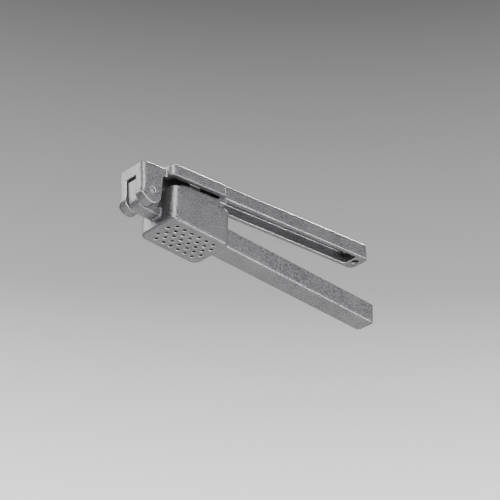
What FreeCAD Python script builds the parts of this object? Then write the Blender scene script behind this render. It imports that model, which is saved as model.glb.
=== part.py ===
import FreeCAD, Part
import math
import os
import Sketcher

# Hand-held press: a lower casting with a sieve-bottomed hopper, an upper lever hinged to it
# by a cross pin, and a plunger that hangs in the lever's head and fills the hopper.
#
# Frame: origin at the centre of the hopper's underside, X from the hinge towards the handle
# ends, Y across, Z up. Lengths in millimetres.

SIZES = {
    # hopper
    "hopper_half_length": 19.2,
    "hopper_half_width": 13.4,
    "hopper_height": 20.3,
    "hopper_corner": 4.4,
    "hopper_base_round": 1.5,
    "rim_round": 0.5,
    "cavity_half_length": 16.8,
    "cavity_half_width": 11.0,
    "cavity_depth": 18.1,
    "cavity_corner": 2.4,
    "sieve_hole_radius": 1.1,
    "sieve_pitch_x": 4.8,
    "sieve_pitch_y": 4.0,
    "sieve_cut": 2.6,
    # lower handle
    "grip_root_x": 17.5,
    "grip_end_x": 134.1,
    "grip_base_root_z": 4.75,
    "grip_base_end_z": 4.3,
    "grip_top_z": 15.5,
    "grip_width": 12.6,
    "grip_root_round": 4.2,
    "grip_end_corner": 2.4,
    "grip_edge_round": 1.3,
    "trough_start_x": 27.0,
    "trough_end_x": 129.0,
    "trough_half_width": 3.8,
    "trough_depth": 8.0,
    # tongue that carries the hinge
    "tongue_front_x": 34.3,
    "tongue_crown_x": 35.9,
    "tongue_back_x": 25.4,
    "tongue_base_z": 4.95,
    "tongue_arm_z": 9.8,
    "tongue_top_z": 20.4,
    "tongue_width": 7.2,
    "tongue_half_width": 3.6,
    "tongue_toe_round": 4.6,
    "tongue_top_round": 0.9,
    "tongue_throat_round": 2.0,
    "tongue_root_round": 1.2,
    "tongue_edge_round": 0.45,
    # hinge, at rest position in the frame
    "hinge_x": -30.3,
    "hinge_z": 12.4,
    "rest_tilt": 5.8,
    "hinge_pin_radius": 1.9,
    "hinge_bore_radius": 1.95,
    "hinge_pin_length": 18.0,
    # fork of the lever, in lever axes from the hinge
    "fork_front": 5.7,
    "fork_back": 6.9,
    "fork_top": 15.5,
    "fork_width": 19.2,
    "fork_half_width": 9.6,
    "fork_corner": 2.7,
    "fork_edge_round": 0.7,
    "flare_top": 3.0,
    "flare_foot_x": 10.503,
    "flare_round": 12.4,
    "crease_x": 6.601,
    "crease_z": 1.64,
    "barrel_radius": 6.8,
    "heel_back": 5.3,
    "heel_top": 2.2,
    "heel_round": 5.34,
    "slot_width": 7.8,
    "slot_roof": 9.3,
    "slot_sweep": 9.9,
    "clear_reach": 13.0,
    # neck between fork and head
    "neck_start": 5.0,
    "neck_end": 11.0,
    "neck_throat_round": 1.4,
    "neck_hollow_front": 8.5,
    "neck_hollow_half_width": 7.4,
    "neck_hollow_depth": 2.4,
    # head of the lever
    "head_front": 9.6,
    "head_back": 47.4,
    "head_base": 10.95,
    "head_height": 6.35,
    "head_half_width": 14.2,
    "head_corner": 3.4,
    "head_edge_round": 0.7,
    "lip_edge_round": 0.5,
    "recess_front": 12.2,
    "recess_back": 44.8,
    "recess_half_width": 11.6,
    "recess_depth": 3.5,
    "recess_corner": 2.2,
    # ridge and upper handle
    "ridge_front": 13.0,
    "ridge_foot": 16.0,
    "ridge_start": 17.2,
    "handle_root": 52.0,
    "handle_root_top": 22.6,
    "handle_root_base": 14.9,
    "handle_end": 162.2,
    "handle_end_top": 23.2,
    "handle_end_base": 14.3,
    "handle_width": 14.2,
    "handle_half_width": 7.1,
    "handle_edge_round": 0.8,
    "heel_front": 45.5,
    "heel_base": 11.2,
    "tip_round": 3.0,
    "tip_start_x": 159.2,
    "tip_side_z": 20.2,
    "end_corner": 3.2,
    "end_corner_start_x": 159.0,
    "end_corner_half_width": 3.9,
    "end_reach": 170.0,
    "channel_front": 52.5,
    "channel_roof_front": 20.0,
    "channel_roof_back": 20.6,
    "channel_back": 154.5,
    "channel_mouth": 10.0,
    "channel_width": 9.3,
    "channel_corner": 1.2,
    "hang_hole_x": 158.0,
    "hang_hole_radius": 1.9,
    "hang_hole_mouth": 0.8,
    # lugs under the head
    "lug_front": 27.6,
    "lug_back": 34.4,
    "lug_base": 8.0,
    "lug_top": 15.0,
    "lug_outer_width": 13.6,
    "lug_gap_width": 8.2,
    "lug_round": 3.0,
    "recess_roof": 14.45,
    "plunger_pin_x": 31.0,
    "plunger_pin_z": 10.8,
    "plunger_pin_radius": 1.5,
    "plunger_bore_radius": 1.55,
    "plunger_pin_length": 13.6,
    # plunger, in hopper axes from its pin
    "plunger_base": 23.3,
    "plunger_toe": 15.0,
    "plunger_heel": 15.9,
    "plunger_front_top": 12.2,
    "plunger_back_top": 15.2,
    "plunger_front_rise": 2.3,
    "plunger_back_rise": 0.9,
    "plunger_width": 20.4,
    "plunger_corner": 2.2,
    "tray_front": 9.6,
    "tray_back": 12.8,
    "tray_half_width": 7.9,
    "tray_floor": 20.6,
    "web_half_length": 7.0,
    "web_width": 7.6,
    "web_foot": 21.0,
    "web_shoulder": 4.0,
    "eye_radius": 3.2,
    "eye_crown": 3.1,
    "pin_end_round": 0.35,
}

doc = FreeCAD.newDocument("press")
sheet = doc.addObject("Spreadsheet::Sheet", "Sizes")
for row, (name, value) in enumerate(SIZES.items(), start=1):
    sheet.set("A%d" % row, name)
    sheet.set("B%d" % row, str(value))
    sheet.setAlias("B%d" % row, name)
doc.recompute()


def signed(term):
    """Value and sheet expression of a size name, which may carry a leading minus."""
    if term.startswith("-"):
        return -SIZES[term[1:]], "-Sizes." + term[1:]
    return SIZES[term], "Sizes." + term


def origin_plane(body, role):
    for feature in body.Origin.OriginFeatures:
        if feature.Role == role:
            return feature
    raise ValueError(role)


def add_body(label):
    body = doc.addObject("PartDesign::Body", label)
    body.Label = label
    return body


def add_sketch(body, role, name, lift=None):
    """Sketch on a plane of the body's own origin, optionally lifted along the plane's normal."""
    sketch = body.newObject("Sketcher::SketchObject", name)
    sketch.AttachmentSupport = [(origin_plane(body, role), "")]
    sketch.MapMode = "FlatFace"
    if lift is not None:
        sketch.setExpression("AttachmentOffset.Base.z", signed(lift)[1])
        sketch.AttachmentOffset = FreeCAD.Placement(
            FreeCAD.Vector(0, 0, signed(lift)[0]), FreeCAD.Rotation())
    return sketch


def place_point(sketch, index, position, x_term, y_term):
    """Fix a sketch point at two named sizes; "0" puts it on the axis."""
    for kind, term, axis in (("DistanceX", x_term, -2), ("DistanceY", y_term, -1)):
        if term == "0":
            sketch.addConstraint(Sketcher.Constraint("PointOnObject", index, position, axis))
            continue
        value, expression = signed(term)
        number = sketch.addConstraint(
            Sketcher.Constraint(kind, -1, 1, index, position, value))
        sketch.setExpression("Constraints[%d]" % number, expression)


def point(x_term, y_term):
    x = 0.0 if x_term == "0" else signed(x_term)[0]
    y = 0.0 if y_term == "0" else signed(y_term)[0]
    return FreeCAD.Vector(x, y, 0)


def arc_between(start, end, radius):
    """Counter-clockwise arc from start to end, or clockwise for a negative radius."""
    if radius < 0:
        return arc_between(end, start, -radius)
    chord = end - start
    rise = math.sqrt(radius ** 2 - (chord.Length / 2) ** 2)
    left = FreeCAD.Vector(-chord.y, chord.x, 0).normalize()
    centre = (start + end) / 2 + left * rise
    first = math.atan2(start.y - centre.y, start.x - centre.x)
    last = math.atan2(end.y - centre.y, end.x - centre.x)
    if last < first:
        last += 2 * math.pi
    circle = Part.Circle(centre, FreeCAD.Vector(0, 0, 1), radius)
    return Part.ArcOfCircle(circle, first, last)


def draw_outline(sketch, corners, arcs=None):
    """Closed outline whose corners are pairs of size names.

    arcs gives, for some sides, the size name of a radius; with a minus the arc turns clockwise.
    """
    arcs = arcs or {}
    count = len(corners)
    first = sketch.GeometryCount
    heads = []
    for i in range(count):
        start = point(*corners[i])
        end = point(*corners[(i + 1) % count])
        clockwise = False
        if i in arcs:
            radius = signed(arcs[i])[0]
            clockwise = radius < 0
            sketch.addGeometry(arc_between(start, end, radius), False)
        else:
            sketch.addGeometry(Part.LineSegment(start, end), False)
        heads.append(2 if clockwise else 1)
    for i in range(count):
        following = (i + 1) % count
        sketch.addConstraint(Sketcher.Constraint(
            "Coincident", first + i, 3 - heads[i], first + following, heads[following]))
    for i, (x_term, y_term) in enumerate(corners):
        place_point(sketch, first + i, heads[i], x_term, y_term)
    for i, term in arcs.items():
        name = term.lstrip("-")
        number = sketch.addConstraint(Sketcher.Constraint("Radius", first + i, SIZES[name]))
        sketch.setExpression("Constraints[%d]" % number, "Sizes." + name)


def draw_rectangle(sketch, x_low, x_high, y_low, y_high):
    draw_outline(sketch, [(x_low, y_low), (x_high, y_low), (x_high, y_high), (x_low, y_high)])


def draw_circle(sketch, x_term, y_term, radius_term):
    radius, expression = signed(radius_term)
    index = sketch.addGeometry(
        Part.Circle(point(x_term, y_term), FreeCAD.Vector(0, 0, 1), radius), False)
    number = sketch.addConstraint(Sketcher.Constraint("Radius", index, radius))
    sketch.setExpression("Constraints[%d]" % number, expression)
    place_point(sketch, index, 3, x_term, y_term)


def add_pad(body, sketch, name, length, symmetric=False, reverse=False):
    pad = body.newObject("PartDesign::Pad", name)
    pad.Profile = sketch
    pad.Length = signed(length)[0]
    pad.setExpression("Length", signed(length)[1])
    if symmetric:
        pad.SideType = "Symmetric"
    pad.Reversed = reverse
    body.Tip = pad
    doc.recompute()
    return pad


def add_pocket(body, sketch, name, length=None, symmetric=False, reverse=False):
    """Cut by a length, or right through when none is given; it has to remove material."""
    before = body.Shape.Volume
    pocket = body.newObject("PartDesign::Pocket", name)
    pocket.Profile = sketch
    if length is None:
        pocket.Type = "ThroughAll"
    else:
        pocket.Length = signed(length)[0]
        pocket.setExpression("Length", signed(length)[1])
    if symmetric:
        pocket.SideType = "Symmetric"
    pocket.Reversed = reverse
    body.Tip = pocket
    doc.recompute()
    if body.Shape.Volume >= before - 0.5:
        raise ValueError("no material removed by " + name)
    return pocket


def near(value, target, gap=0.05):
    return abs(value - target) < gap


def edges_where(shape, test):
    """Names of the edges whose ends and middle all pass a test."""
    names = []
    for number, edge in enumerate(shape.Edges, start=1):
        middle = edge.valueAt((edge.FirstParameter + edge.LastParameter) / 2)
        points = [v.Point for v in edge.Vertexes] + [middle]
        if all(test(p) for p in points):
            names.append("Edge%d" % number)
    return names


def add_fillet(body, name, radius, test):
    """Round the edges of the body so far that pass the test."""
    names = edges_where(body.Tip.Shape, test)
    if not names:
        raise ValueError("no edge for " + name)
    base = body.Tip
    fillet = body.newObject("PartDesign::Fillet", name)
    fillet.Base = (base, names)
    fillet.Radius = signed(radius)[0]
    fillet.setExpression("Radius", signed(radius)[1])
    body.Tip = fillet
    doc.recompute()
    if not fillet.Shape.Solids or not fillet.Shape.isValid():
        raise ValueError("not rounded: " + name)
    return fillet


S = SIZES

# ---------------------------------------------------------------- lower casting
casting = add_body("hopper_handle")

sketch = add_sketch(casting, "XY_Plane", "hopper_plan")
draw_rectangle(sketch, "-hopper_half_length", "hopper_half_length",
               "-hopper_half_width", "hopper_half_width")
add_pad(casting, sketch, "hopper_block", "hopper_height")
add_fillet(casting, "hopper_corners", "hopper_corner",
           lambda p: near(abs(p.x), S["hopper_half_length"])
           and near(abs(p.y), S["hopper_half_width"]))

sketch = add_sketch(casting, "XZ_Plane", "grip_side")
draw_outline(sketch, [("grip_root_x", "grip_base_root_z"), ("grip_end_x", "grip_base_end_z"),
                      ("grip_end_x", "grip_top_z"), ("grip_root_x", "grip_top_z")])
add_pad(casting, sketch, "grip", "grip_width", symmetric=True)

sketch = add_sketch(casting, "XZ_Plane", "tongue_side")
draw_outline(sketch, [("-grip_root_x", "tongue_base_z"), ("-grip_root_x", "tongue_arm_z"),
                      ("-tongue_back_x", "tongue_arm_z"), ("-tongue_back_x", "tongue_top_z"),
                      ("-tongue_crown_x", "tongue_top_z"), ("-tongue_front_x", "tongue_base_z")])
add_pad(casting, sketch, "tongue", "tongue_width", symmetric=True)

add_fillet(casting, "tongue_toe", "tongue_toe_round",
           lambda p: near(p.x, -S["tongue_front_x"]) and near(p.z, S["tongue_base_z"]))
add_fillet(casting, "tongue_crown", "tongue_top_round",
           lambda p: near(p.z, S["tongue_top_z"])
           and (near(p.x, -S["tongue_crown_x"]) or near(p.x, -S["tongue_back_x"])))
add_fillet(casting, "tongue_throat", "tongue_throat_round",
           lambda p: near(p.x, -S["tongue_back_x"]) and near(p.z, S["tongue_arm_z"]))
add_fillet(casting, "tongue_edges", "tongue_edge_round",
           lambda p: near(abs(p.y), S["tongue_half_width"]) and p.x < -S["hopper_half_length"] - 1)
add_fillet(casting, "tongue_root", "tongue_root_round",
           lambda p: near(p.x, -S["hopper_half_length"]) and near(p.z, S["tongue_base_z"]))
add_fillet(casting, "grip_end_corners", "grip_end_corner",
           lambda p: near(p.x, S["grip_end_x"]) and near(abs(p.y), S["grip_width"] / 2))
add_fillet(casting, "grip_root_fillet", "grip_root_round",
           lambda p: near(p.x, S["hopper_half_length"]) and near(p.z, S["grip_top_z"]))

sketch = add_sketch(casting, "XY_Plane", "cavity_plan", "hopper_height")
draw_rectangle(sketch, "-cavity_half_length", "cavity_half_length",
               "-cavity_half_width", "cavity_half_width")
add_pocket(casting, sketch, "cavity", "cavity_depth")
add_fillet(casting, "cavity_corners", "cavity_corner",
           lambda p: near(abs(p.x), S["cavity_half_length"])
           and near(abs(p.y), S["cavity_half_width"]))

sketch = add_sketch(casting, "XY_Plane", "trough_plan", "grip_top_z")
draw_rectangle(sketch, "trough_start_x", "trough_end_x",
               "-trough_half_width", "trough_half_width")
add_pocket(casting, sketch, "trough", "trough_depth")

sketch = add_sketch(casting, "XZ_Plane", "hinge_bore_side")
draw_circle(sketch, "hinge_x", "hinge_z", "hinge_bore_radius")
add_pocket(casting, sketch, "hinge_bore", "fork_width", symmetric=True)

add_fillet(casting, "hopper_base_edge", "hopper_base_round", lambda p: near(p.z, 0))
add_fillet(casting, "hopper_rim", "rim_round",
           lambda p: near(p.z, S["hopper_height"])
           and (abs(p.x) > S["cavity_half_length"] + 0.5 or abs(p.y) > S["cavity_half_width"] + 0.5))
add_fillet(casting, "grip_base_edges", "grip_edge_round",
           lambda p: S["hopper_half_length"] - 0.1 < p.x and p.z < S["grip_base_root_z"] + 0.1
           and abs(p.y) > 1.0)

sieve = add_sketch(casting, "XY_Plane", "sieve_holes")
pitch_x = S["sieve_pitch_x"]
pitch_y = S["sieve_pitch_y"]
for line in range(-2, 3):
    if line % 2:
        stations = [n * pitch_x for n in range(-3, 4)]
    else:
        stations = [(n + 0.5) * pitch_x for n in range(-3, 3)]
    for station in stations:
        centre = FreeCAD.Vector(station, line * pitch_y, 0)
        index = sieve.addGeometry(
            Part.Circle(centre, FreeCAD.Vector(0, 0, 1), S["sieve_hole_radius"]), False)
        number = sieve.addConstraint(Sketcher.Constraint("Radius", index, S["sieve_hole_radius"]))
        sieve.setExpression("Constraints[%d]" % number, "Sizes.sieve_hole_radius")
        for kind, axis, steps, pitch in (("DistanceX", -2, station / pitch_x, "sieve_pitch_x"),
                                         ("DistanceY", -1, line, "sieve_pitch_y")):
            if steps == 0:
                sieve.addConstraint(Sketcher.Constraint("PointOnObject", index, 3, axis))
                continue
            number = sieve.addConstraint(
                Sketcher.Constraint(kind, -1, 1, index, 3, steps * S[pitch]))
            sieve.setExpression("Constraints[%d]" % number, "%.1f * Sizes.%s" % (steps, pitch))
add_pocket(casting, sieve, "sieve", "sieve_cut", reverse=True)

# ---------------------------------------------------------------- upper lever
lever = add_body("press_lever")

sketch = add_sketch(lever, "XY_Plane", "head_plan", "head_base")
draw_rectangle(sketch, "head_front", "head_back", "-head_half_width", "head_half_width")
add_pad(lever, sketch, "head", "head_height")
add_fillet(lever, "head_corners", "head_corner",
           lambda p: near(abs(p.y), S["head_half_width"])
           and (near(p.x, S["head_front"]) or near(p.x, S["head_back"])))
add_fillet(lever, "head_top_edges", "head_edge_round",
           lambda p: near(p.z, S["head_base"] + S["head_height"]))
add_fillet(lever, "head_lip", "lip_edge_round", lambda p: near(p.z, S["head_base"]))

sketch = add_sketch(lever, "XZ_Plane", "fork_side")
draw_outline(sketch, [("-fork_front", "fork_top"), ("-fork_front", "flare_top"),
                      ("-flare_foot_x", "-barrel_radius"), ("fork_back", "-barrel_radius"),
                      ("fork_back", "fork_top")], {1: "-flare_round"})
add_pad(lever, sketch, "fork", "fork_width", symmetric=True)
add_fillet(lever, "fork_corners", "fork_corner",
           lambda p: p.x < 0.05 - S["fork_front"] and near(abs(p.y), S["fork_half_width"]))
sketch = add_sketch(lever, "XZ_Plane", "neck_side")
draw_rectangle(sketch, "neck_start", "neck_end", "head_base", "fork_top")
add_pad(lever, sketch, "neck", "fork_width", symmetric=True)
add_fillet(lever, "fork_top_edges", "fork_edge_round",
           lambda p: near(p.z, S["fork_top"]) and p.x < S["head_front"] + 0.05
           and (near(abs(p.y), S["fork_half_width"]) or p.x < 0.05 - S["fork_front"]))
sketch = add_sketch(lever, "XZ_Plane", "ear_toe_side")
draw_outline(sketch, [("-clear_reach", "-crease_z"), ("-crease_x", "-crease_z"),
                      ("0", "-barrel_radius"), ("0", "-clear_reach"),
                      ("-clear_reach", "-clear_reach")], {1: "barrel_radius"})
add_pocket(lever, sketch, "ear_toe", "fork_width", symmetric=True)
sketch = add_sketch(lever, "XZ_Plane", "ear_heel_side")
draw_outline(sketch, [("clear_reach", "slot_roof"), ("fork_back", "slot_roof"),
                      ("heel_back", "-heel_top"), ("0", "-barrel_radius"),
                      ("0", "-clear_reach"), ("clear_reach", "-clear_reach")],
             {2: "-heel_round"})
add_pocket(lever, sketch, "ear_heel", "fork_width", symmetric=True)
add_fillet(lever, "neck_throat", "neck_throat_round",
           lambda p: near(p.x, S["fork_back"]) and near(p.z, S["head_base"]))

sketch = add_sketch(lever, "XY_Plane", "neck_hollow_plan", "head_base")
draw_rectangle(sketch, "neck_hollow_front", "recess_front",
               "-neck_hollow_half_width", "neck_hollow_half_width")
add_pocket(lever, sketch, "neck_hollow", "neck_hollow_depth", reverse=True)

sketch = add_sketch(lever, "XY_Plane", "recess_plan", "head_base")
draw_rectangle(sketch, "recess_front", "recess_back", "-recess_half_width", "recess_half_width")
add_pocket(lever, sketch, "recess", "recess_depth", reverse=True)
add_fillet(lever, "recess_corners", "recess_corner",
           lambda p: near(abs(p.y), S["recess_half_width"])
           and (near(p.x, S["recess_front"]) or near(p.x, S["recess_back"])))

sketch = add_sketch(lever, "XZ_Plane", "handle_side")
draw_outline(sketch, [("ridge_front", "ridge_foot"), ("recess_back", "ridge_foot"),
                      ("recess_back", "handle_root_base"), ("handle_end", "handle_end_base"),
                      ("handle_end", "tip_side_z"), ("tip_start_x", "handle_end_top"),
                      ("handle_root", "handle_root_top"), ("ridge_front", "ridge_start")],
             {4: "tip_round"})
add_pad(lever, sketch, "handle", "handle_width", symmetric=True)
sketch = add_sketch(lever, "XY_Plane", "end_corner_plan")
draw_outline(sketch, [("end_corner_start_x", "handle_half_width"),
                      ("handle_end", "end_corner_half_width"),
                      ("end_reach", "end_corner_half_width"), ("end_reach", "clear_reach"),
                      ("end_corner_start_x", "clear_reach")], {0: "-end_corner"})
draw_outline(sketch, [("end_corner_start_x", "-handle_half_width"),
                      ("handle_end", "-end_corner_half_width"),
                      ("end_reach", "-end_corner_half_width"), ("end_reach", "-clear_reach"),
                      ("end_corner_start_x", "-clear_reach")], {0: "end_corner"})
add_pocket(lever, sketch, "end_corners", reverse=True)
sketch = add_sketch(lever, "XZ_Plane", "heel_side")
draw_rectangle(sketch, "heel_front", "channel_front", "heel_base", "ridge_foot")
add_pad(lever, sketch, "heel", "handle_width", symmetric=True)

sketch = add_sketch(lever, "XZ_Plane", "channel_side")
draw_outline(sketch, [("channel_front", "channel_mouth"), ("channel_back", "channel_mouth"),
                      ("channel_back", "channel_roof_back"),
                      ("channel_front", "channel_roof_front")])
add_pocket(lever, sketch, "channel", "channel_width", symmetric=True)
add_fillet(lever, "channel_corners", "channel_corner",
           lambda p: near(p.x, S["channel_back"]) and near(abs(p.y), S["channel_width"] / 2))

sketch = add_sketch(lever, "XZ_Plane", "slot_side")
draw_rectangle(sketch, "-clear_reach", "neck_end", "-clear_reach", "slot_roof")
add_pocket(lever, sketch, "fork_slot", "slot_width", symmetric=True)
sketch = add_sketch(lever, "XZ_Plane", "slot_sweep_side")
draw_circle(sketch, "0", "0", "slot_sweep")
add_pocket(lever, sketch, "slot_sweep_room", "slot_width", symmetric=True)

sketch = add_sketch(lever, "XZ_Plane", "lug_side")
draw_rectangle(sketch, "lug_front", "lug_back", "lug_base", "lug_top")
add_pad(lever, sketch, "lugs", "lug_outer_width", symmetric=True)
sketch = add_sketch(lever, "XZ_Plane", "lug_gap_side")
draw_rectangle(sketch, "recess_front", "recess_back", "lug_base", "recess_roof")
add_pocket(lever, sketch, "lug_gap", "lug_gap_width", symmetric=True)
add_fillet(lever, "lug_ends", "lug_round",
           lambda p: near(p.z, S["lug_base"])
           and (near(p.x, S["lug_front"]) or near(p.x, S["lug_back"])))

sketch = add_sketch(lever, "XZ_Plane", "pin_bores_side")
draw_circle(sketch, "0", "0", "hinge_pin_radius")
draw_circle(sketch, "plunger_pin_x", "plunger_pin_z", "plunger_pin_radius")
add_pocket(lever, sketch, "pin_bores", "fork_width", symmetric=True)

sketch = add_sketch(lever, "XY_Plane", "hang_hole_plan", "channel_mouth")
draw_circle(sketch, "hang_hole_x", "0", "hang_hole_radius")
add_pocket(lever, sketch, "hang_hole", reverse=True)

add_fillet(lever, "hang_hole_lip", "hang_hole_mouth",
           lambda p: near(p.x, S["hang_hole_x"], S["hang_hole_radius"] + 0.1)
           and abs(p.y) < S["hang_hole_radius"] + 0.1 and p.z < S["handle_end_base"] + 0.2)
add_fillet(lever, "handle_top_edges", "handle_edge_round",
           lambda p: p.x > S["handle_root"] and p.z > S["tip_side_z"] + 0.2
           and abs(p.y) > S["handle_half_width"] - 3.5)
# The lever's own axes start at the hinge and lean back by the rest tilt.
lever.Placement = FreeCAD.Placement(
    FreeCAD.Vector(S["hinge_x"], 0, S["hinge_z"]),
    FreeCAD.Rotation(FreeCAD.Vector(0, 1, 0), -S["rest_tilt"]))
lever.setExpression("Placement.Base.x", "Sizes.hinge_x")
lever.setExpression("Placement.Base.z", "Sizes.hinge_z")

# ---------------------------------------------------------------- plunger
plunger = add_body("plunger")

sketch = add_sketch(plunger, "XZ_Plane", "plunger_side")
draw_outline(sketch, [("-plunger_toe", "-plunger_base"), ("plunger_heel", "-plunger_base"),
                      ("plunger_back_top", "plunger_back_rise"),
                      ("-plunger_front_top", "-plunger_front_rise")])
add_pad(plunger, sketch, "plunger_block", "plunger_width", symmetric=True)
add_fillet(plunger, "plunger_corners", "plunger_corner",
           lambda p: near(abs(p.y), S["plunger_width"] / 2)
           and (p.x > S["plunger_back_top"] - 0.05 or p.x < -S["plunger_front_top"] + 0.05))

sketch = add_sketch(plunger, "XY_Plane", "tray_plan", "-tray_floor")
draw_rectangle(sketch, "-tray_front", "tray_back", "-tray_half_width", "tray_half_width")
add_pocket(plunger, sketch, "tray", "plunger_base", reverse=True)

sketch = add_sketch(plunger, "XZ_Plane", "web_side")
draw_rectangle(sketch, "-web_half_length", "web_half_length", "-web_foot", "-eye_radius")
add_pad(plunger, sketch, "web", "web_width", symmetric=True)
sketch = add_sketch(plunger, "XZ_Plane", "eye_side")
draw_outline(sketch, [("-eye_radius", "-web_shoulder"), ("eye_radius", "-web_shoulder"),
                      ("eye_radius", "eye_crown"), ("-eye_radius", "eye_crown")])
add_pad(plunger, sketch, "eye", "web_width", symmetric=True)
add_fillet(plunger, "eye_round", "eye_crown",
           lambda p: near(p.z, S["eye_crown"]) and near(abs(p.x), S["eye_radius"]))
sketch = add_sketch(plunger, "XZ_Plane", "eye_bore_side")
draw_circle(sketch, "0", "0", "plunger_bore_radius")
add_pocket(plunger, sketch, "eye_bore", "fork_width", symmetric=True)

# ---------------------------------------------------------------- pins
pins = []
for label, radius, length in (("hinge_pin", "hinge_pin_radius", "hinge_pin_length"),
                              ("plunger_pin", "plunger_pin_radius", "plunger_pin_length")):
    pin = add_body(label)
    sketch = add_sketch(pin, "XZ_Plane", label + "_section")
    draw_circle(sketch, "0", "0", radius)
    add_pad(pin, sketch, label + "_rod", length, symmetric=True)
    add_fillet(pin, label + "_ends", "pin_end_round",
               lambda p, half=S[length] / 2: near(abs(p.y), half))
    pins.append(pin)
hinge_pin, plunger_pin = pins

hinge_pin.Placement = FreeCAD.Placement(
    FreeCAD.Vector(S["hinge_x"], 0, S["hinge_z"]), FreeCAD.Rotation())
pin_place = lever.Placement.multVec(
    FreeCAD.Vector(S["plunger_pin_x"], 0, S["plunger_pin_z"]))
for body in (plunger_pin, plunger):
    body.Placement = FreeCAD.Placement(pin_place, FreeCAD.Rotation())

# ---------------------------------------------------------------- check and write
doc.recompute()
nodes = [casting, lever, hinge_pin, plunger_pin, plunger]
for feature in doc.Objects:
    if "Invalid" in feature.State or "Error" in feature.State:
        raise ValueError("not built: " + feature.Label)
for node in nodes:
    shape = node.Shape
    if shape.isNull() or not shape.isValid() or len(shape.Solids) != 1:
        raise ValueError("bad solid: " + node.Label)

os.makedirs("parts", exist_ok=True)
for node in nodes:
    node.Shape.exportStep("parts/%s.step" % node.Label)
    print(node.Label, round(node.Shape.Volume), node.Shape.BoundBox)
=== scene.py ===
import bpy
import math
from mathutils import Matrix, Vector


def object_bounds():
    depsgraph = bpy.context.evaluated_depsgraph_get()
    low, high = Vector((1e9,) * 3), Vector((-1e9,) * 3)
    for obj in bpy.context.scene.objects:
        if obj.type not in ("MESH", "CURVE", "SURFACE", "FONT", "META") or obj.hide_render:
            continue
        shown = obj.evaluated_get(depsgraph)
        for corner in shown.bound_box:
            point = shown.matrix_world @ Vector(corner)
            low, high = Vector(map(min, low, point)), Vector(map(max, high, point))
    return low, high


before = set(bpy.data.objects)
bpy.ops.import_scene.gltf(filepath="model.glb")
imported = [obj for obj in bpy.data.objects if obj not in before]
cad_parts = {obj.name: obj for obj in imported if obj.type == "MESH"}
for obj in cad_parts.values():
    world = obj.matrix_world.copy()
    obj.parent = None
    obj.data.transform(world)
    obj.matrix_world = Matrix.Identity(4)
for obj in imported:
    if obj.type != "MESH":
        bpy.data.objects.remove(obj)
cad_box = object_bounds()

# ---------------------------------------------------------------- values
# Lengths are in metres, light powers in watts and camera angles in degrees.
# Noise scales count features per metre.

COAT_BASE = (0.205, 0.205, 0.21, 1.0)
COAT_DARK = (0.085, 0.085, 0.09, 1.0)
COAT_BRIGHT = (0.26, 0.26, 0.265, 1.0)
# Edge colour: partly wear, partly a painted highlight along the edges.
COAT_WORN_AND_HIGHLIGHT = (0.74, 0.74, 0.75, 1.0)
COAT_METALLIC = 0.8
COAT_EDGE = 0.0008
COAT_BUMP = 0.00018
FLAKE_SCALE = 1500.0
CLOUD_SCALE = 70.0
PEEL_SCALE = 800.0
FLAKE_HEIGHT = 0.6
EDGE_POLISH = 0.08

STEEL_DARK = (0.40, 0.40, 0.41, 1.0)
STEEL_BRIGHT = (0.66, 0.66, 0.67, 1.0)
# Edge colour: partly wear, partly a painted highlight along the edges.
STEEL_WORN_AND_HIGHLIGHT = (0.8, 0.8, 0.8, 1.0)
STEEL_EDGE = 0.0003
STEEL_BUMP = 0.00005
GRAIN_SCALE = 1500.0
SCUFF_SCALE = 420.0
EDGE_WEAR_AND_HIGHLIGHT = 0.5

# An edge fades out as the rounded and the flat normal come into line.
EDGE_FACING = (0.86, 0.999)
BEVEL_SAMPLES = 8

FLOOR_DROP = 0.75
FLOOR_HALF = 6.0
FLOOR_COLOUR = (0.5, 0.5, 0.5, 1.0)
FLOOR_ROUGHNESS = 0.9

# Backdrop brightness against the upward part of the view direction.
BACKDROP_STOPS = ((0.1, 0.42), (0.38, 1.6), (0.50, 0.58), (0.65, 0.17))
BACKDROP_BLUE = 1.01

LIGHT_TARGET = (0.03, 0.0, 0.02)
# Name, place, size and power of each softbox.
LIGHTS = (
    ("left_softbox", (-0.62, 0.66, 0.55), 0.7, 8.0),
    ("edge_light", (-0.68, -0.60, 0.62), 0.6, 11.0),
    ("top_softbox", (1.19, 0.66, 1.52), 0.55, 150.0),
    ("front_fill", (0.35, -1.1, 0.15), 0.9, 4.0),
    ("low_edge", (0.58, -0.47, -0.54), 0.25, 5.0),
    ("low_fill", (-0.35, -0.95, -0.3), 0.35, 9.0),
)

# The photograph's point of view, below the press and in front of its hinge.
CAMERA_AIM = (0.04485, 0.0, 0.01506)
CAMERA_DISTANCE = 0.8369
CAMERA_AZIMUTH = -42.82
CAMERA_ELEVATION = -31.52
CAMERA_ROLL = 1.64
CAMERA_LENS_MM = 115.2
CAMERA_SENSOR_MM = 36.0
CAMERA_NEAR = 0.01


# ---------------------------------------------------------------- node helpers
def new_material(name):
    material = bpy.data.materials.new(name)
    material.use_nodes = True
    tree = material.node_tree
    tree.nodes.clear()
    output = tree.nodes.new("ShaderNodeOutputMaterial")
    shader = tree.nodes.new("ShaderNodeBsdfPrincipled")
    tree.links.new(shader.outputs["BSDF"], output.inputs["Surface"])
    return material, tree, shader


def add_noise(tree, vector, scale, detail):
    node = tree.nodes.new("ShaderNodeTexNoise")
    node.inputs["Scale"].default_value = scale
    node.inputs["Detail"].default_value = detail
    tree.links.new(vector, node.inputs["Vector"])
    return node.outputs["Fac"]


def add_range(tree, value, source, target):
    """Map the source range onto the target range, and hold its ends."""
    node = tree.nodes.new("ShaderNodeMapRange")
    node.clamp = True
    sockets = ("From Min", "From Max", "To Min", "To Max")
    for socket, number in zip(sockets, source + target):
        node.inputs[socket].default_value = number
    tree.links.new(value, node.inputs["Value"])
    return node.outputs["Result"]


def fill_socket(tree, socket, item):
    """Give a socket a number or colour, or link it to another node's output."""
    if isinstance(item, (int, float, tuple)):
        socket.default_value = item
    else:
        tree.links.new(item, socket)


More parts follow.
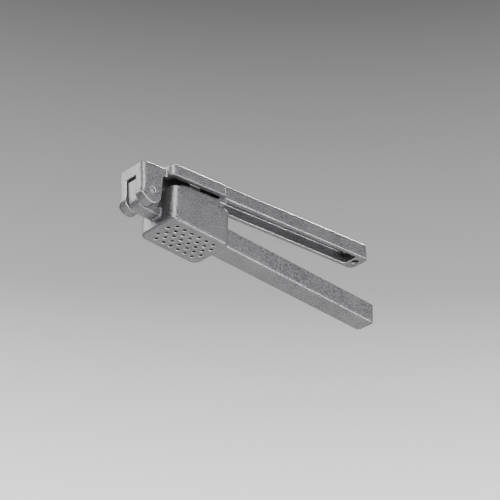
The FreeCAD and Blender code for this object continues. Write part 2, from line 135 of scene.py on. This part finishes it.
def add_math(tree, operation, first, second):
    node = tree.nodes.new("ShaderNodeMath")
    node.operation = operation
    fill_socket(tree, node.inputs[0], first)
    fill_socket(tree, node.inputs[1], second)
    return node.outputs["Value"]


def mix_colour(tree, factor, first, second):
    node = tree.nodes.new("ShaderNodeMix")
    node.data_type = "RGBA"
    tree.links.new(factor, node.inputs["Factor"])
    fill_socket(tree, node.inputs["A"], first)
    fill_socket(tree, node.inputs["B"], second)
    return node.outputs["Result"]


def add_edge_mask(tree, radius):
    """Rounded normal and a mask that is 1 on sharp edges and 0 on flat faces."""
    bevel = tree.nodes.new("ShaderNodeBevel")
    bevel.samples = BEVEL_SAMPLES
    bevel.inputs["Radius"].default_value = radius
    facing = tree.nodes.new("ShaderNodeVectorMath")
    facing.operation = "DOT_PRODUCT"
    flat = tree.nodes.new("ShaderNodeNewGeometry").outputs["Normal"]
    tree.links.new(bevel.outputs["Normal"], facing.inputs[0])
    tree.links.new(flat, facing.inputs[1])
    mask = add_range(tree, facing.outputs["Value"], EDGE_FACING, (1.0, 0.0))
    return bevel.outputs["Normal"], mask


def add_bump(tree, shader, height, normal, strength, distance):
    bump = tree.nodes.new("ShaderNodeBump")
    bump.inputs["Strength"].default_value = strength
    bump.inputs["Distance"].default_value = distance
    tree.links.new(height, bump.inputs["Height"])
    tree.links.new(normal, bump.inputs["Normal"])
    tree.links.new(bump.outputs["Normal"], shader.inputs["Normal"])


# ---------------------------------------------------------------- materials
def make_coating(name):
    """Satin metallic coating: fine flake, cloudy tone, orange-peel skin, and edges lightened
    partly as wear and partly as a painted highlight.
    """
    material, tree, shader = new_material(name)
    place = tree.nodes.new("ShaderNodeTexCoord").outputs["Object"]
    flake = add_noise(tree, place, FLAKE_SCALE, detail=1.5)
    cloud = add_noise(tree, place, CLOUD_SCALE, detail=4.0)
    peel = add_noise(tree, place, PEEL_SCALE, detail=2.0)
    normal, edge = add_edge_mask(tree, COAT_EDGE)

    flake_tone = add_range(tree, flake, source=(0.38, 0.62), target=(0.0, 1.0))
    tone = mix_colour(tree, flake_tone, COAT_DARK, COAT_BASE)
    cloud_tone = add_range(tree, cloud, source=(0.35, 0.7), target=(0.0, 0.35))
    tone = mix_colour(tree, cloud_tone, tone, COAT_BRIGHT)
    patches = add_range(tree, peel, source=(0.3, 0.6), target=(0.25, 0.8))
    # The light edge colour is partly wear and partly a painted highlight on every edge the bevel
    # finds.
    wear_and_highlight = add_math(tree, "MULTIPLY", edge, patches)
    tone = mix_colour(tree, wear_and_highlight, tone, COAT_WORN_AND_HIGHLIGHT)
    tree.links.new(tone, shader.inputs["Base Color"])
    shader.inputs["Metallic"].default_value = COAT_METALLIC

    rough = add_range(tree, flake, source=(0.3, 0.7), target=(0.30, 0.46))
    polish = add_math(tree, "MULTIPLY", edge, EDGE_POLISH)
    rough = add_math(tree, "SUBTRACT", rough, polish)
    tree.links.new(rough, shader.inputs["Roughness"])

    flake_height = add_math(tree, "MULTIPLY", flake, FLAKE_HEIGHT)
    height = add_math(tree, "ADD", peel, flake_height)
    add_bump(tree, shader, height, normal, strength=0.7, distance=COAT_BUMP)
    return material


def make_steel(name):
    """Bright steel wire: fine grain, smoother and rougher patches, and edges lightened partly as
    wear and partly as a painted highlight.
    """
    material, tree, shader = new_material(name)
    place = tree.nodes.new("ShaderNodeTexCoord").outputs["Object"]
    grain = add_noise(tree, place, GRAIN_SCALE, detail=2.0)
    scuff = add_noise(tree, place, SCUFF_SCALE, detail=3.0)
    normal, edge = add_edge_mask(tree, STEEL_EDGE)

    tone = mix_colour(tree, grain, STEEL_DARK, STEEL_BRIGHT)
    # The lighter edge colour is partly wear and partly a painted highlight on every edge the
    # bevel finds.
    wear_and_highlight = add_math(tree, "MULTIPLY", edge, EDGE_WEAR_AND_HIGHLIGHT)
    tone = mix_colour(tree, wear_and_highlight, tone, STEEL_WORN_AND_HIGHLIGHT)
    tree.links.new(tone, shader.inputs["Base Color"])
    shader.inputs["Metallic"].default_value = 1.0

    rough = add_range(tree, scuff, source=(0.3, 0.7), target=(0.18, 0.36))
    tree.links.new(rough, shader.inputs["Roughness"])
    add_bump(tree, shader, grain, normal, strength=0.15, distance=STEEL_BUMP)
    return material


def make_floor_paint(name):
    material, tree, shader = new_material(name)
    shader.inputs["Base Color"].default_value = FLOOR_COLOUR
    shader.inputs["Roughness"].default_value = FLOOR_ROUGHNESS
    return material


def dress(node, material):
    for slot in bpy.data.objects[node].material_slots:
        slot.material = material


body_coat = make_coating("satin_grey_coating")
for node in ("hopper_handle", "press_lever", "plunger"):
    dress(node, body_coat)

pin_steel = make_steel("pin_steel")
for node in ("hinge_pin", "plunger_pin"):
    dress(node, pin_steel)


# ---------------------------------------------------------------- floor and backdrop
def make_floor():
    """Flat square far below the press, which hangs clear of it."""
    floor_z = cad_box[0][2] - FLOOR_DROP
    signs = ((-1, -1), (1, -1), (1, 1), (-1, 1))
    corners = [(x * FLOOR_HALF, y * FLOOR_HALF, floor_z) for x, y in signs]
    mesh = bpy.data.meshes.new("floor")
    mesh.from_pydata(corners, [], [(0, 1, 2, 3)])
    return bpy.data.objects.new("floor", mesh)


def make_backdrop():
    """Plain grey world, brightest in a band about 22 degrees above the horizon."""
    world = bpy.data.worlds.new("studio")
    bpy.context.scene.world = world
    world.use_nodes = True
    tree = world.node_tree
    tree.nodes.clear()
    output = tree.nodes.new("ShaderNodeOutputWorld")
    background = tree.nodes.new("ShaderNodeBackground")
    direction = tree.nodes.new("ShaderNodeTexCoord").outputs["Generated"]
    split = tree.nodes.new("ShaderNodeSeparateXYZ")
    tree.links.new(direction, split.inputs["Vector"])
    ramp = tree.nodes.new("ShaderNodeValToRGB")
    stops = ramp.color_ramp.elements
    for position, _ in BACKDROP_STOPS[1:-1]:
        stops.new(position)
    for stop, (position, grey) in zip(stops, BACKDROP_STOPS):
        stop.position = position
        stop.color = (grey, grey, grey * BACKDROP_BLUE, 1.0)
    tree.links.new(split.outputs["Z"], ramp.inputs["Fac"])
    tree.links.new(ramp.outputs["Color"], background.inputs["Color"])
    tree.links.new(background.outputs["Background"], output.inputs["Surface"])


floor = make_floor()
bpy.context.scene.collection.objects.link(floor)
floor.data.materials.append(make_floor_paint("floor_paint"))
make_backdrop()


# ---------------------------------------------------------------- lights and camera
def add_light(name, place, size, power):
    data = bpy.data.lights.new(name, "AREA")
    data.shape = "SQUARE"
    data.size = size
    data.energy = power
    lamp = bpy.data.objects.new(name, data)
    lamp.location = place
    lamp.rotation_mode = "QUATERNION"
    toward = Vector(LIGHT_TARGET) - Vector(place)
    lamp.rotation_quaternion = toward.to_track_quat("-Z", "Y")
    bpy.context.scene.collection.objects.link(lamp)


def add_camera():
    data = bpy.data.cameras.new("camera")
    data.lens = CAMERA_LENS_MM
    data.sensor_width = CAMERA_SENSOR_MM
    data.clip_start = CAMERA_NEAR
    azimuth = math.radians(CAMERA_AZIMUTH)
    elevation = math.radians(CAMERA_ELEVATION)
    roll = math.radians(CAMERA_ROLL)
    back = Vector((math.sin(azimuth) * math.cos(elevation),
                   -math.cos(azimuth) * math.cos(elevation),
                   math.sin(elevation)))
    right = Vector((math.cos(azimuth), math.sin(azimuth), 0.0))
    up = back.cross(right)
    turned_right = right * math.cos(roll) + up * math.sin(roll)
    turned_up = up * math.cos(roll) - right * math.sin(roll)
    place = Vector(CAMERA_AIM) + back * CAMERA_DISTANCE
    axes = Matrix((turned_right, turned_up, back)).transposed()
    camera = bpy.data.objects.new("camera", data)
    camera.matrix_world = Matrix.Translation(place) @ axes.to_4x4()
    bpy.context.scene.collection.objects.link(camera)
    bpy.context.scene.camera = camera


for light in LIGHTS:
    add_light(*light)
add_camera()
